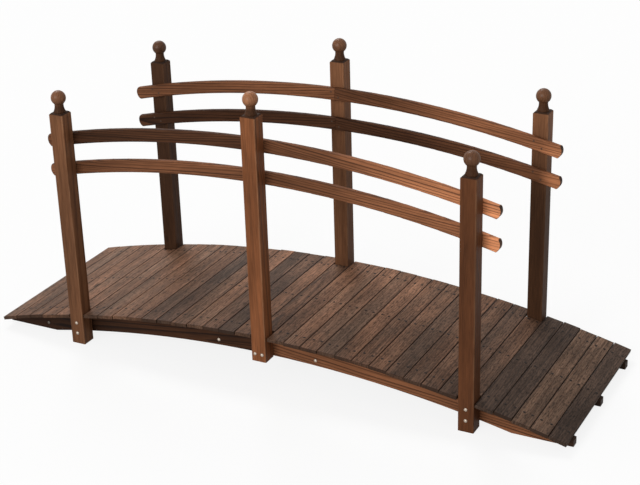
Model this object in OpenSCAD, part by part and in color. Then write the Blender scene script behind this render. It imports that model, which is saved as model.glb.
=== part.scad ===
// Arched garden footbridge: planks on three timber arches, six posts with
// turned ball finials and two curved rails on each side.
// The bridge runs along X, crosses along Y and stands on the ground at Z = 0.

/* [Deck] */
// Length of the deck from one tip to the other, measured level
deck_l = 2200; // [1800:10:2800]
// Width of the deck, along the planks
deck_w = 695; // [500:5:1000]
// Height of the walking surface at the crown of the arch
crown_h = 184; // [150:1:240]
// Height of the walking surface at its two tips
tip_h = 38; // [30:1:60]

/* [Planks] */
// Number of planks, odd so that one lies at the crown
plank_n = 35; // [29:2:39]
// Thickness of a plank
plank_t = 12; // [10:0.5:20]
// Open joint between two planks
plank_gap = 2; // [1:0.5:6]
// Bevel along the top edges of a plank
plank_bevel = 1.5; // [0.5:0.25:3]
// Room between a plank and a post
post_room = 2; // [1:0.5:5]

/* [Arches] */
// Depth of an arch at the crown
arch_d = 78; // [64:1:94]
// Thickness of an arch
arch_t = 28; // [20:1:45]
// Length of the flat foot at each end of an arch
foot_l = 209; // [120:1:260]
// How far a toe reaches past the deck's tip
toe_reach = 5; // [0:1:30]
// Joint between the two halves of an arch or a rail
half_gap = 1; // [0.5:0.5:3]

/* [Joining boards] */
// Length of the board behind the joint of an arch
board_l = 430; // [250:10:600]
// Depth of a joining board
board_d = 62; // [40:1:70]
// Thickness of a joining board
board_t = 20; // [12:1:30]
// Room between a joining board and the planks
board_room = 4; // [1:0.5:10]

/* [Posts] */
// Side of a square post
post_s = 55; // [40:1:70]
// Length of a post
post_l = 883; // [800:1:1100]
// Planks from the crown to an end post
post_step = 12; // [9:1:13]
// How far a middle post reaches below the arch
post_tail = 3; // [1:0.5:20]
// Chamfer around the top of a post
post_chamfer = 6; // [2:0.5:6.5]
// Rounding of the upright edges of a post
post_round = 3; // [1:0.5:8]

/* [Finials] */
// Diameter of the ball
ball_d = 52; // [44:1:64]
// Height of the ball's centre over the post
ball_h = 51; // [44:1:60]
// Diameter of the collar that sits on the post
collar_d = 41; // [38:1:43]
// Height of the collar's straight edge
collar_h = 4; // [2:0.5:8]
// Diameter of the neck at its narrowest
neck_d = 31; // [20:1:34]
// Height of the neck's narrowest place over the post
neck_h = 25; // [18:1:30]

/* [Rails] */
// Depth of a rail
rail_d = 46; // [36:1:56]
// Thickness of a rail
rail_t = 20; // [14:1:30]
// Top of the upper rail over the deck at the crown
upper_rail_h = 697; // [640:1:740]
// Open height between the upper and the lower rail
rail_gap = 65; // [40:1:150]
// Rise of a rail from an end post to the middle post
rail_rise = 82; // [50:1:130]
// How far a rail runs past the middle of an end post
rail_over = 85; // [65:1:140]
// Rounding of the long edges of a rail
rail_round = 5; // [2:0.5:6.5]
// Radius of the rounded outer end of a rail
rail_nose_r = 30; // [28:1:60]

/* [Hidden] */
// Bedding gap between the flat planks and the curved arches
seat_gap = 0.1;
// Overrun of a cutting shape past the surface that it cuts
overrun = 1;
// Facets of a long arc's full circle
arc_fn = 720;
// Facets of a small round's full circle
round_fn = 48;

plank_colour = "#6f5444";
arch_colour = "#5e3d2a";
post_colour = "#7b5233";
rail_colour = "#8d5c38";

// Walking surface: one arc through both tips and the crown
tip_x = deck_l / 2;
deck_rise = crown_h - tip_h;
deck_r = (tip_x ^ 2 + deck_rise ^ 2) / (2 * deck_rise);
deck_centre_z = crown_h - deck_r;
deck_a = asin(tip_x / deck_r);

// Planks share the arc evenly and leave the same joint everywhere
gap_a = 2 * asin(plank_gap / 2 / deck_r);
plank_a = (2 * deck_a + gap_a) / plank_n;
plank_w = 2 * deck_r * tan((plank_a - gap_a) / 2);

// Arches: the top follows the planks, the underside springs from the heels
arch_top_r = deck_r - plank_t - seat_gap;
arch_under_h = deck_centre_z + arch_top_r - arch_d;
toe_x = tip_x + toe_reach;
heel_x = toe_x - foot_l;
arch_under_r = (heel_x ^ 2 + arch_under_h ^ 2) / (2 * arch_under_h);
board_top_h = deck_centre_z + sqrt(arch_top_r ^ 2 - (board_l / 2) ^ 2) - board_room;

// Posts stand in the place of a plank's two ends
post_a = post_step * plank_a;
post_x = deck_r * sin(post_a);
post_y = (deck_w - post_s) / 2;
inner_y = deck_w / 2 - post_s;

// Finials: the hollow of the neck runs from the collar up into the ball
neck_flare = (collar_d - neck_d) / 2;
neck_hollow_r = ((neck_h - collar_h) ^ 2 + neck_flare ^ 2) / (2 * neck_flare);

// Rails: one arc for all of them, through the middle post and the end posts
rail_r = (post_x ^ 2 + rail_rise ^ 2) / (2 * rail_rise);
rail_axis_r = rail_r - rail_d / 2;
rail_start_a = asin(half_gap / 2 / rail_axis_r);
rail_nose_a = asin((post_x + rail_over - rail_nose_r) / rail_axis_r);
rail_end_a = rail_nose_a + atan((rail_nose_r + overrun) / (rail_r - rail_d));

NEAR = -1;
FAR = 1;
LEFT = -1;
MIDDLE = 0;
RIGHT = 1;
SIDES = [NEAR, FAR];
PLACES = [LEFT, MIDDLE, RIGHT];
ARCHES = [NEAR, MIDDLE, FAR];
PLANKS = [1 : plank_n];

function side_word(side) = side == NEAR ? "near" : "far";
function place_word(place) = place == LEFT ? "left" : place == MIDDLE ? "mid" : "right";
function arch_word(row) = row == MIDDLE ? "middle" : side_word(row);
function post_name(side, place) = str(side_word(side), "_", place_word(place), "_post");
function finial_name(side, place) = str(side_word(side), "_", place_word(place), "_finial");
function rail_name(side, level) = str(side_word(side), "_", level, "_rail");
function arch_name(row) = str(arch_word(row), "_arch");
function board_name(row) = str(arch_word(row), "_joining_board");
function plank_name(number) = str("deck_plank_", number < 10 ? "0" : "", number);

// Places counted in planks from the crown
function plank_step(number) = number - (plank_n + 1) / 2;
function at_post(step) = step == 0 || abs(step) == post_step;
function beside_post(step) = min(abs(step), abs(abs(step) - post_step)) <= 1 && !at_post(step);

// Heights and places of the pieces that repeat
function post_foot_h(place) = place == MIDDLE ? arch_under_h - post_tail : 0;
function rail_top_h(level) = crown_h + upper_rail_h - (level == "upper" ? 0 : rail_d + rail_gap);
function arch_y(row) = row * (inner_y - arch_t / 2);
function board_y(row) = row == MIDDLE ? (arch_t + board_t) / 2 : row * (inner_y - arch_t - board_t / 2);

// A bar's section with rounded corners, centred
module rounded_section(size_x, size_y, corner_r) {
    square([size_x - 2 * corner_r, size_y], center = true);
    square([size_x, size_y - 2 * corner_r], center = true);
    for (sx = [-1, 1], sy = [-1, 1])
        translate([sx * (size_x / 2 - corner_r), sy * (size_y / 2 - corner_r)])
            circle(r = corner_r, $fn = round_fn);
}

// Stands an outline drawn in X and Z upright and gives it a thickness along Y
module upright(thickness) {
    rotate([90, 0, 0])
        linear_extrude(thickness, center = true)
            children();
}

// One half of an arch in side view, from the joint at the crown to the toe
module arch_half_outline() {
    difference() {
        intersection() {
            translate([0, deck_centre_z])
                circle(r = arch_top_r, $fn = arc_fn);
            translate([half_gap / 2, 0])
                square([toe_x - half_gap / 2, crown_h]);
        }
        translate([0, arch_under_h - arch_under_r])
            circle(r = arch_under_r, $fn = arc_fn);
    }
}

// An arch is sawn in two halves that meet at the crown
module arch(row) {
    color(arch_colour)
        for (half = [LEFT, RIGHT])
            translate([0, arch_y(row), 0])
                mirror([half == LEFT ? 1 : 0, 0, 0])
                    upright(arch_t)
                        arch_half_outline();
}

// The board bolted behind the joint of an arch
module joining_board(row) {
    color(arch_colour)
        translate([0, board_y(row), board_top_h - board_d / 2])
            cube([board_l, board_t, board_d], center = true);
}

// A plank's section, drawn at its height over the centre of the deck's arc
module plank_section() {
    half_w = plank_w / 2;
    bottom = deck_r - plank_t;
    polygon([
        [-half_w, bottom],
        [half_w, bottom],
        [half_w, deck_r - plank_bevel],
        [half_w - plank_bevel, deck_r],
        [plank_bevel - half_w, deck_r],
        [-half_w, deck_r - plank_bevel]
    ]);
}

// Upright slots that keep the planks clear of the posts
module post_slots() {
    slot = post_s + 2 * post_room;
    for (side = SIDES, place = PLACES)
        translate([place * post_x, side * post_y, crown_h / 2])
            cube([slot, slot, 2 * crown_h], center = true);
}

// A plank between two posts is cut short, and its neighbours are notched where they would touch
module deck_plank(number) {
    step = plank_step(number);
    length = at_post(step) ? 2 * (inner_y - post_room) : deck_w;
    color(plank_colour)
        difference() {
            translate([0, 0, deck_centre_z])
                rotate([0, step * plank_a, 0])
                    upright(length)
                        plank_section();
            if (beside_post(step))
                post_slots();
        }
}

// A post in front view, its top chamfered, wider than the post by the overrun
module post_outline() {
    outer = post_s / 2 + overrun;
    top = post_s / 2 - post_chamfer;
    polygon([
        [-outer, 0],
        [outer, 0],
        [outer, post_l - post_chamfer - overrun],
        [top, post_l],
        [-top, post_l],
        [-outer, post_l - post_chamfer - overrun]
    ]);
}

// A square post with eased upright edges and a chamfer on all four sides of its top
module post(side, place) {
    color(post_colour)
        translate([place * post_x, side * post_y, post_foot_h(place)])
            intersection() {
                linear_extrude(post_l + overrun)
                    rounded_section(post_s, post_s, post_round);
                upright(post_s + 2 * overrun)
                    post_outline();
                rotate([0, 0, 90])
                    upright(post_s + 2 * overrun)
                        post_outline();
            }
}

// Half of the finial's section: collar, hollow neck and ball
module finial_section() {
    square([collar_d / 2, collar_h]);
    difference() {
        square([collar_d / 2, ball_h]);
        translate([neck_d / 2 + neck_hollow_r, neck_h])
            circle(r = neck_hollow_r, $fn = arc_fn);
    }
    intersection() {
        translate([0, ball_h])
            circle(d = ball_d, $fn = round_fn);
        square([ball_d, ball_h + ball_d]);
    }
}

// A turned ball finial on top of a post
module finial(side, place) {
    color(post_colour)
        translate([place * post_x, side * post_y, post_foot_h(place) + post_l])
            rotate_extrude($fn = round_fn)
                finial_section();
}

// A stretch of a rail between two angles from the crown, about the centre of its arc
module rail_stretch(from_a, to_a) {
    rotate([90, 0, 0])
        rotate([0, 0, 90 - to_a])
            rotate_extrude(angle = to_a - from_a, $fn = arc_fn)
                translate([rail_axis_r, 0])
                    rounded_section(rail_d, rail_t, rail_round);
}

// What is sawn off the outer end of a rail to round it
module rail_nose_waste() {
    waste_d = rail_d + 4 * overrun;
    waste_t = rail_t + 2 * overrun;
    rotate([0, rail_nose_a, 0])
        translate([0, 0, rail_axis_r])
            difference() {
                translate([0, -waste_t / 2, -waste_d / 2])
                    cube([2 * rail_nose_r, waste_t, waste_d]);
                rotate([90, 0, 0])
                    cylinder(h = waste_t + 2 * overrun, r = rail_nose_r, center = true, $fn = arc_fn);
            }
}

// One half of a rail, from the joint at the middle post to its rounded outer end
module rail_half() {
    difference() {
        rail_stretch(rail_start_a, rail_end_a);
        rail_nose_waste();
    }
}

// A rail lies on the inner faces of its posts, in two halves that meet at the middle post
module rail(side, level) {
    color(rail_colour)
        translate([0, side * (inner_y - rail_t / 2), rail_top_h(level) - rail_r])
            for (half = [LEFT, RIGHT])
                mirror([half == LEFT ? 1 : 0, 0, 0])
                    rail_half();
}

for (row = ARCHES) {
    arch(row);
    joining_board(row);
}
for (number = PLANKS)
    deck_plank(number);
for (side = SIDES, place = PLACES) {
    post(side, place);
    finial(side, place);
}
for (side = SIDES, level = ["upper", "lower"])
    rail(side, level);
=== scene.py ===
# %% [markdown]
# # An arched garden footbridge
# The bridge is a kit of sawn fir that was scorched, brushed and stained: three arches, thirty-five
# planks, six posts with turned balls and four curved rails. The CAD frame already holds each timber
# at its real size and place. This lesson loads that frame, dresses the timbers in procedural wood and
# adds what is fitted last: eased planks, nails, bolts and screws.

import math
import random

import bpy
from mathutils import Matrix, Vector


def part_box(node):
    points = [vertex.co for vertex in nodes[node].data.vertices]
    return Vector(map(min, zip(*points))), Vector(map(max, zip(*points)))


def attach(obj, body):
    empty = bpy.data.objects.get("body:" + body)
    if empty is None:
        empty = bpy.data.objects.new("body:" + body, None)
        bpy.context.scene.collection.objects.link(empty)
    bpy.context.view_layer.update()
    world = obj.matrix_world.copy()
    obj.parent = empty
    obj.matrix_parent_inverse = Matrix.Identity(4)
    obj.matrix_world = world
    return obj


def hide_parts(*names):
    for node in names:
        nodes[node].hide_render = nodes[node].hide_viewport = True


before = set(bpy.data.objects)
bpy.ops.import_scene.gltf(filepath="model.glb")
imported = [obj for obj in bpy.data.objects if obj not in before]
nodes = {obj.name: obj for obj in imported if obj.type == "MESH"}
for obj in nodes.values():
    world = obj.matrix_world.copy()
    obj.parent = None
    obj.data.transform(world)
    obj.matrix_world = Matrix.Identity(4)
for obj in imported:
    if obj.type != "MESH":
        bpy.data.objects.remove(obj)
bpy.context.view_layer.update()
bpy.ops.object.select_all(action="DESELECT")

# %% [markdown]
# The planks lie on one arc through the crown and both tips. Its radius follows from one length and two
# heights, as on the drawing, and it is worked out once because the planks, the nails and the grain all
# follow it. The planks' sizes are read from the boxes of the CAD nodes, so they can't drift.

# %% The arc of the deck
PLANK_COUNT = 35
CROWN_PLANK = 18
DECK_LENGTH = 2.200
TIP_HEIGHT = 0.038
PLANK_GAP = 0.002


def plank_name(number):
    return f"deck_plank_{number:02d}"


crown_low, crown_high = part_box(plank_name(CROWN_PLANK))
crown_height = crown_high[2]
plank_thickness = crown_high[2] - crown_low[2]
plank_width = crown_high[0] - crown_low[0]
deck_rise = crown_height - TIP_HEIGHT
deck_radius = ((DECK_LENGTH / 2) ** 2 + deck_rise ** 2) / (2 * deck_rise)
deck_centre = Vector((0, 0, crown_height - deck_radius))
gap_angle = 2 * math.asin(PLANK_GAP / 2 / deck_radius)
plank_angle = (2 * math.asin(DECK_LENGTH / 2 / deck_radius) + gap_angle) / PLANK_COUNT
print(f"deck radius {deck_radius:.3f} m, plank width {plank_width:.4f} m")
print(f"one plank every {math.degrees(plank_angle):.3f} degrees")

# %% [markdown]
# The camera stands in front and to the right, 2.6 m above the ground, and is rolled by under two degrees.
# A constraint could aim it at the bridge, but that leaves no room for the roll. Three given angles and a
# place set it, and the focal length comes from the picture's width in pixels, so the frame is the
# photograph's own.

# %% Camera
IMAGE_WIDTH = 640
FOCAL_PIXELS = 1524.6
SENSOR_WIDTH = 36
CAMERA_PLACE = (2.3461, -4.3193, 2.5681)
CAMERA_AZIMUTH = math.radians(27.821)
CAMERA_ELEVATION = math.radians(23.873)
CAMERA_ROLL = math.radians(-1.804)

level_turn = Matrix.Rotation(CAMERA_AZIMUTH, 3, "Z")
tilt = Matrix.Rotation(math.pi / 2 - CAMERA_ELEVATION, 3, "X")
roll = Matrix.Rotation(CAMERA_ROLL, 3, "Z")
bpy.ops.object.camera_add(location=CAMERA_PLACE, rotation=(level_turn @ tilt @ roll).to_euler())
camera = bpy.context.object
camera.name = "photo_camera"
camera.data.sensor_width = SENSOR_WIDTH
camera.data.lens = SENSOR_WIDTH * FOCAL_PIXELS / IMAGE_WIDTH
bpy.context.scene.camera = camera
bpy.context.scene.view_settings.view_transform = "Standard"
print(f"camera lens {camera.data.lens:.1f} mm")

# %% [markdown]
# Materials are made of many small nodes. Two helpers keep the cells short: one links a socket or writes
# a number into it, the other adds a Math node and hands back its result.

# %% Node helpers
def feed(tree, socket, value):
    """Links a socket to another one, or writes a plain value into it."""
    if isinstance(value, bpy.types.NodeSocket):
        tree.links.new(value, socket)
    else:
        socket.default_value = value


def compute(tree, operation, *values):
    """One Math node, such as ADD or POWER, on sockets or numbers."""
    node = tree.nodes.new("ShaderNodeMath")
    node.operation = operation
    for socket, value in zip(node.inputs, values):
        feed(tree, socket, value)
    return node.outputs[0]


print("node helpers ready")

# %% [markdown]
# The floor is a plain pale sheet. For the eye, most of its white is its own colour and the rest is lit,
# so that a soft shadow stays under the bridge. For the light that it throws back on the timber it is an
# ordinary matt floor. The Light Path node tells the two apart.

# %% Floor
FLOOR_SIZE = 60
PURE_WHITE = (1, 1, 1, 1)
FLOOR_WHITE = (0.96, 0.96, 0.955, 1)
FLOOR_BOUNCE = (0.55, 0.55, 0.54, 1)
OWN_WHITE = 0.85


def seen_directly(tree):
    """1 for what the camera, a reflection or a clear surface shows, 0 for light."""
    path = tree.nodes.new("ShaderNodeLightPath")
    seen = compute(tree, "MAXIMUM", path.outputs["Is Camera Ray"], path.outputs["Is Glossy Ray"])
    return compute(tree, "MAXIMUM", seen, path.outputs["Is Transmission Ray"])


def mix_shaders(tree, factor, first, second):
    mix = tree.nodes.new("ShaderNodeMixShader")
    for socket, value in zip(mix.inputs, (factor, first, second)):
        feed(tree, socket, value)
    return mix.outputs[0]


def matt(tree, colour):
    node = tree.nodes.new("ShaderNodeBsdfDiffuse")
    node.inputs["Color"].default_value = colour
    return node.outputs[0]


def white_light(tree, kind, strength):
    """An Emission or a Background node that shines white."""
    node = tree.nodes.new(kind)
    node.inputs["Color"].default_value = PURE_WHITE
    node.inputs["Strength"].default_value = strength
    return node.outputs[0]


floor_paint = bpy.data.materials.new("pale_floor")
floor_paint.use_nodes = True
tree = floor_paint.node_tree
tree.nodes.clear()
own_light = white_light(tree, "ShaderNodeEmission", 1)
shown = mix_shaders(tree, OWN_WHITE, matt(tree, FLOOR_WHITE), own_light)
surface = mix_shaders(tree, seen_directly(tree), matt(tree, FLOOR_BOUNCE), shown)
output = tree.nodes.new("ShaderNodeOutputMaterial")
tree.links.new(surface, output.inputs["Surface"])

bpy.ops.mesh.primitive_plane_add(size=FLOOR_SIZE, location=(0, 0, 0))
floor = bpy.context.object
floor.name = "floor"
floor.data.materials.append(floor_paint)
print("floor", FLOOR_SIZE, "m")

# %% [markdown]
# The room around the bridge is white too. What is seen of it is pure white, but the light that it gives is
# less than half as strong, so that the lamps can still shape the timber.

# %% Sky
SKY_STRENGTH = 0.42

world = bpy.data.worlds.new("studio_white")
world.use_nodes = True
bpy.context.scene.world = world
tree = world.node_tree
tree.nodes.clear()
sky = white_light(tree, "ShaderNodeBackground", SKY_STRENGTH)
backdrop = white_light(tree, "ShaderNodeBackground", 1)
surface = mix_shaders(tree, seen_directly(tree), sky, backdrop)
output = tree.nodes.new("ShaderNodeOutputWorld")
tree.links.new(surface, output.inputs["Surface"])
print("sky", SKY_STRENGTH)

# %% [markdown]
# Two broad lamps light the bridge. A low one in front gives the posts a bright face and dark sides, and a
# high one behind and to the left lights the deck and leaves a soft shadow at the foot of each far post.
# A sun with a wide disc does this evenly over the whole bridge, and its shadows are as soft as those of
# a large studio lamp.

# %% Lamps
LAMP_DISTANCE = 5
LAMPS = {
    "front_lamp": ((-0.20, -1.00, 0.38), 1.81, 40),
    "back_lamp": ((-0.55, 0.55, 0.85), 1.35, 26),
}

for name, (way, strength, softness) in LAMPS.items():
    way = Vector(way)
    aim = way.to_track_quat("Z", "Y").to_euler()
    bpy.ops.object.light_add(type="SUN", location=way * LAMP_DISTANCE, rotation=aim)
    lamp = bpy.context.object
    lamp.name = name
    lamp.data.energy = strength
    lamp.data.angle = math.radians(softness)
    print(name, strength)

# %% [markdown]
# What several materials share is a node group: it is made once, with named sockets, and each material
# places it with values of its own. These helpers make and place a group and add the nodes that all the
# woods need. A Map Range node with a smooth step serves wherever a mask fades from one level to another.

# %% Group and texture helpers
FLOAT = "NodeSocketFloat"
COLOUR = "NodeSocketColor"
VECTOR = "NodeSocketVector"
NOISE_ROUGHNESS = 0.55


def new_group(name, inputs, outputs):
    """An empty shader group and its input and output sockets, by name."""
    group = bpy.data.node_groups.new(name, "ShaderNodeTree")
    for label, kind in inputs.items():
        group.interface.new_socket(label, in_out="INPUT", socket_type=kind)
    for label, kind in outputs.items():
        group.interface.new_socket(label, in_out="OUTPUT", socket_type=kind)
    start = group.nodes.new("NodeGroupInput")
    end = group.nodes.new("NodeGroupOutput")
    return group, start.outputs, end.inputs


def place_group(tree, group, **values):
    """Places a group in a material; an input's spaces become underscores here."""
    node = tree.nodes.new("ShaderNodeGroup")
    node.node_tree = group
    for label, value in values.items():
        feed(tree, node.inputs[label.replace("_", " ")], value)
    return node.outputs


def combine(tree, values):
    """A position from up to three numbers."""
    node = tree.nodes.new("ShaderNodeCombineXYZ")
    for socket, value in zip(node.inputs, values):
        feed(tree, socket, value)
    return node.outputs[0]


def split(tree, vector):
    """The three numbers of a position."""
    node = tree.nodes.new("ShaderNodeSeparateXYZ")
    feed(tree, node.inputs[0], vector)
    return node.outputs


def stretch(tree, vector, factors):
    node = tree.nodes.new("ShaderNodeVectorMath")
    node.operation = "MULTIPLY"
    feed(tree, node.inputs[0], vector)
    node.inputs[1].default_value = factors
    return node.outputs[0]


def noise(tree, vector, seed, detail):
    """Noise of one unit's grain on a stretched position; the seed makes each timber its own."""
    node = tree.nodes.new("ShaderNodeTexNoise")
    node.noise_dimensions = "4D"
    feed(tree, node.inputs["Vector"], vector)
    feed(tree, node.inputs["W"], seed)
    node.inputs["Scale"].default_value = 1
    node.inputs["Detail"].default_value = detail
    node.inputs["Roughness"].default_value = NOISE_ROUGHNESS
    return node.outputs[0]


def ramp(tree, value, low, high, to_low=0.0, to_high=1.0):
    """A smooth step of a value from one range to another."""
    node = tree.nodes.new("ShaderNodeMapRange")
    node.interpolation_type = "SMOOTHSTEP"
    for socket, number in zip(node.inputs, (value, low, high, to_low, to_high)):
        feed(tree, socket, number)
    return node.outputs[0]


def chance(tree, seed, salt):
    """One number from 0 to 1 for a seed."""
    node = tree.nodes.new("ShaderNodeTexWhiteNoise")
    node.noise_dimensions = "1D"
    feed(tree, node.inputs["W"], compute(tree, "ADD", seed, salt))
    return node.outputs["Value"]


def swing(tree, value):
    """Makes a number from 0 to 1 run from minus a half to a half."""
    return compute(tree, "SUBTRACT", value, 0.5)


def hypotenuse(tree, first, second):
    """The distance that two steps at a right angle make."""
    squares = compute(tree, "ADD", compute(tree, "POWER", first, 2), compute(tree, "POWER", second, 2))
    return compute(tree, "SQRT", squares)


print("group helpers ready")

# %% [markdown]
# All the timber is fir, so its grain is one shader group that every wood places with its own values.
# A board is cut from a trunk: the year rings are circles about a heart that lies beside the board and
# leans a little, and the darker late wood fills the outer part of each ring. Distance from that heart,
# cut into ring gaps, gives straight lines on a quarter-sawn face and long arches on a flat-sawn one.
# Good and poor years make wide and narrow, dark and pale rings. Stretched noise adds the fibres, slow
# noise adds the blotches of the stain, and a few cells hold knots.

# %% Fir grain
KNOT_STRETCH = (4.5, 9, 9)
KNOT_SEED_STEP = 3.1
KNOT_SHARE = 0.62
KNOT_CORE = (0.05, 0.13)
KNOT_SWIRL = (0.08, 0.50)
HEART_SPREAD = 0.09
HEART_DEPTH = 0.028
HEART_LEAN = 0.07
ACROSS_SALT, DEPTH_SALT, LEAN_SALT, YEAR_SALT = 0.3, 5.1, 1.7, 9.2
WANDER_STRETCH = (1.6, 11, 11)
YEARS_ALIKE = 0.45
YEAR_STEP = 0.731
RING_SWELL = 2.2
PALE_YEAR = 0.55
LATE_START = (0.42, 0.88)
LATE_STOP = (0.92, 1.0)
FIBRE_STRETCH = (16, 620, 620)
BLOTCH_STRETCH = (2.6, 17, 17)

fir_grain, given, result = new_group(
    "fir_grain",
    {"Along": FLOAT, "Across": FLOAT, "Depth": FLOAT, "Seed": FLOAT, "Ring Gap": FLOAT, "Waviness": FLOAT},
    {"Late": FLOAT, "Fibre": FLOAT, "Blotch": FLOAT, "Knot": FLOAT},
)
tree = fir_grain
position = combine(tree, (given["Along"], given["Across"], given["Depth"]))
seed = given["Seed"]

knots = tree.nodes.new("ShaderNodeTexVoronoi")
knots.voronoi_dimensions = "4D"
feed(tree, knots.inputs["Vector"], stretch(tree, position, KNOT_STRETCH))
feed(tree, knots.inputs["W"], compute(tree, "MULTIPLY", seed, KNOT_SEED_STEP))
knots.inputs["Scale"].default_value = 1
cell = tree.nodes.new("ShaderNodeSeparateColor")
feed(tree, cell.inputs[0], knots.outputs["Color"])
kept = compute(tree, "GREATER_THAN", cell.outputs[0], KNOT_SHARE)
from_knot = knots.outputs["Distance"]
knot = compute(tree, "MULTIPLY", ramp(tree, from_knot, *KNOT_CORE, 1, 0), kept)
swirl = compute(tree, "MULTIPLY", ramp(tree, from_knot, *KNOT_SWIRL, 1, 0), kept)


def heart(tree, axis, spread, away, salt):
    """Distance from the heart along one axis of the section."""
    place = compute(tree, "MULTIPLY_ADD", swing(tree, chance(tree, seed, salt)), spread, away)
    lean = compute(tree, "MULTIPLY", swing(tree, chance(tree, seed, salt + LEAN_SALT)), HEART_LEAN)
    leaned = compute(tree, "MULTIPLY", given["Along"], lean)
    return compute(tree, "ADD", compute(tree, "ADD", axis, place), leaned)


across = heart(tree, given["Across"], HEART_SPREAD, 0, ACROSS_SALT)
depth = heart(tree, given["Depth"], HEART_DEPTH, HEART_DEPTH, DEPTH_SALT)
radius = hypotenuse(tree, across, depth)
wander = swing(tree, noise(tree, stretch(tree, position, WANDER_STRETCH), seed, 2))
radius = compute(tree, "MULTIPLY_ADD", wander, given["Waviness"], radius)
radius = compute(tree, "MULTIPLY_ADD", swirl, given["Ring Gap"], radius)
rings = compute(tree, "DIVIDE", radius, given["Ring Gap"])
years = combine(tree, [compute(tree, "MULTIPLY", rings, YEARS_ALIKE)])
swell = swing(tree, noise(tree, years, seed, 1))
rings = compute(tree, "MULTIPLY_ADD", swell, RING_SWELL, rings)
ring = compute(tree, "FRACT", rings)
year_seed = compute(tree, "MULTIPLY_ADD", compute(tree, "FLOOR", rings), YEAR_STEP, seed)
year = chance(tree, year_seed, YEAR_SALT)
late = compute(tree, "MULTIPLY", ramp(tree, ring, *LATE_START), ramp(tree, ring, *LATE_STOP, 1, 0))
late = compute(tree, "MULTIPLY", late, compute(tree, "MULTIPLY_ADD", year, 1 - PALE_YEAR, PALE_YEAR))
feed(tree, result["Late"], late)
feed(tree, result["Knot"], knot)
feed(tree, result["Fibre"], noise(tree, stretch(tree, position, FIBRE_STRETCH), seed, 2))
feed(tree, result["Blotch"], noise(tree, stretch(tree, position, BLOTCH_STRETCH), seed, 3))
print("fir grain:", len(tree.nodes), "nodes")

# %% [markdown]
# Scorching chars the soft wood and the stain soaks in unevenly, so the same grain carries a dark late
# wood, a warm early wood and slow blotches. A second group turns the grain's masks into a colour, a
# roughness and a height: late wood stands proud of the brushed face and is a little smoother.

# %% Scorched stain
MIX_FIRST, MIX_SECOND, MIX_RESULT = 6, 7, 2
KNOT_BROWN = (0.030, 0.016, 0.009, 1)
KNOT_STRENGTH = 0.85
BLOTCH_RANGE = (0.25, 0.75)
FIBRE_RANGE = (0.25, 0.75)
FIBRE_LEVELS = (0.74, 1.26)
ROUGH_RANGE = (0.2, 0.8)
ROUGH_LEVELS = (0.66, 0.52)
LATE_POLISH = -0.08
LATE_RELIEF, FIBRE_RELIEF = 0.6, 0.4


def blend_colour(tree, factor, first, second):
    """A Mix node for colours, which keeps them at sockets of their own."""
    node = tree.nodes.new("ShaderNodeMix")
    node.data_type = "RGBA"
    feed(tree, node.inputs[0], factor)
    feed(tree, node.inputs[MIX_FIRST], first)
    feed(tree, node.inputs[MIX_SECOND], second)
    return node.outputs[MIX_RESULT]


def brighten(tree, colour, factor):
    """A colour times a number that changes over the surface."""
    node = tree.nodes.new("ShaderNodeVectorMath")
    node.operation = "SCALE"
    feed(tree, node.inputs[0], colour)
    feed(tree, node.inputs["Scale"], factor)
    return node.outputs[0]


scorched_stain, given, result = new_group(
    "scorched_stain",
    {"Early": COLOUR, "Dark": COLOUR, "Late": FLOAT, "Fibre": FLOAT, "Blotch": FLOAT, "Knot": FLOAT,
     "Contrast": FLOAT, "Patchiness": FLOAT},
    {"Colour": COLOUR, "Roughness": FLOAT, "Height": FLOAT},
)
tree = scorched_stain
shade = compute(tree, "MULTIPLY", given["Late"], given["Contrast"])
wood = blend_colour(tree, shade, given["Early"], given["Dark"])
patch = swing(tree, ramp(tree, given["Blotch"], *BLOTCH_RANGE))
level = compute(tree, "MULTIPLY_ADD", patch, given["Patchiness"], 1)
level = compute(tree, "MULTIPLY", level, ramp(tree, given["Fibre"], *FIBRE_RANGE, *FIBRE_LEVELS))
knot = compute(tree, "MULTIPLY", given["Knot"], KNOT_STRENGTH)
wood = blend_colour(tree, knot, brighten(tree, wood, level), KNOT_BROWN)
feed(tree, result["Colour"], wood)
rough = ramp(tree, given["Fibre"], *ROUGH_RANGE, *ROUGH_LEVELS)
feed(tree, result["Roughness"], compute(tree, "MULTIPLY_ADD", given["Late"], LATE_POLISH, rough))
fibres = compute(tree, "MULTIPLY", given["Fibre"], FIBRE_RELIEF)
feed(tree, result["Height"], compute(tree, "MULTIPLY_ADD", given["Late"], LATE_RELIEF, fibres))
print("scorched stain:", len(tree.nodes), "nodes")

# %% [markdown]
# Handled edges lose their stain first. This group turns the distance from an arris into a pale, broken
# line: full at the edge, gone a few millimetres in, and interrupted by noise along its run.

# %% Worn arris
WEAR_ALONG, WEAR_INWARDS = 14, 240
WEAR_BREAKS = (0.32, 0.62)

arris_wear, given, result = new_group(
    "arris_wear",
    {"Distance": FLOAT, "Along": FLOAT, "Seed": FLOAT, "Width": FLOAT},
    {"Wear": FLOAT},
)
tree = arris_wear
along = compute(tree, "MULTIPLY", given["Along"], WEAR_ALONG)
inwards = compute(tree, "MULTIPLY", given["Distance"], WEAR_INWARDS)
broken = ramp(tree, noise(tree, combine(tree, (along, inwards)), given["Seed"], 3), *WEAR_BREAKS)
line = ramp(tree, given["Distance"], 0.0, given["Width"], 1, 0)
feed(tree, result["Wear"], compute(tree, "MULTIPLY", line, broken))
print("arris wear:", len(tree.nodes), "nodes")

# %% [markdown]
# Each wood material ends the same way: a Principled shader that takes the stain's colour and roughness,
# and a Bump node that turns its height into brushed relief. A small function builds that end, and the
# material's own nodes come before it: they say how the board was cut out of the trunk.

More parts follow.
